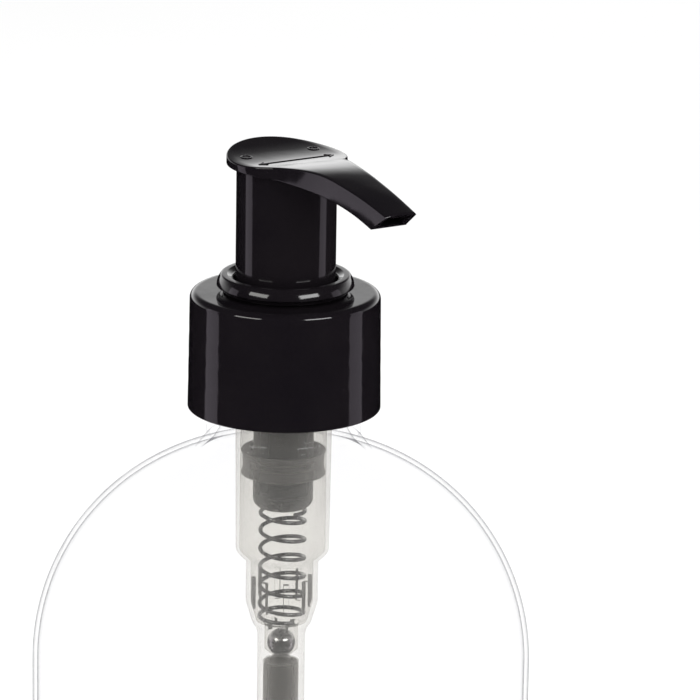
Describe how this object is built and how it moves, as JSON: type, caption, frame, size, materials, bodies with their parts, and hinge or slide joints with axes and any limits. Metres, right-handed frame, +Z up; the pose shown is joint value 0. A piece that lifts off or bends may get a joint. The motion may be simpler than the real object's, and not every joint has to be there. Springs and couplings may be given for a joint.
{
  "type": "soap pump dispenser",
  "caption": "Clear bottle with a domed shoulder and a screw-on lotion pump: press the head to dispense, turn it to lock, unscrew the closure to refill.",
  "frame": {"origin": "centre of the bottle's base, on the plane of its foot ring", "axes": "+Z up along the pump's axis, +X the way the spout points at rest, +Y to its left"},
  "size_m": [0.0856, 0.0856, 0.161],
  "materials": {
    "clear_pet": "clear, high gloss",
    "black_plastic": "high gloss, as moulded",
    "natural_pp": "milky translucent, satin",
    "natural_pe": "milky translucent, waxy",
    "white_foam": "matt closed-cell foam",
    "steel": "bright drawn wire and polished ball"
  },
  "bodies": {
    "bottle": {"bottle": "clear_pet"},
    "pump_unit": {"pump_housing": "natural_pp", "lock_ring": "black_plastic", "neck_gasket": "white_foam", "dip_tube": "natural_pe", "return_spring": "steel"},
    "closure": {"closure": "black_plastic"},
    "inlet_ball": {"inlet_ball": "steel"},
    "piston": {"piston": "natural_pe"},
    "head": {"actuator_head": "black_plastic", "stem": "natural_pp", "plunger": "natural_pp"}
  },
  "joints": [
    {"name": "pump_lift", "type": "slide", "parent": "bottle", "child": "pump_unit", "axis": [0, 0, 1], "range_m": [0, 0.00635]},
    {"name": "closure_unscrew", "type": "hinge", "parent": "pump_unit", "child": "closure", "pos_m": [0, 0, 0.116], "axis": [0, 0, 1], "range_deg": [0, 540]},
    {"name": "ball_lift", "type": "slide", "parent": "pump_unit", "child": "inlet_ball", "axis": [0, 0, 1], "range_m": [0, 0.0012]},
    {"name": "head_press", "type": "slide", "parent": "pump_unit", "child": "piston", "axis": [0, 0, -1], "range_m": [0, 0.012], "stiffness_N_per_m": 500, "springref_m": -0.006, "deforming": ["return_spring"]},
    {"name": "head_turn", "type": "hinge", "parent": "piston", "child": "head", "pos_m": [0, 0, 0.116], "axis": [0, 0, 1], "range_deg": [0, 90]}
  ],
  "couplings": [
    {"joint": "pump_lift", "follows": "closure_unscrew", "m_per_rad": 0.0006737}
  ]
}
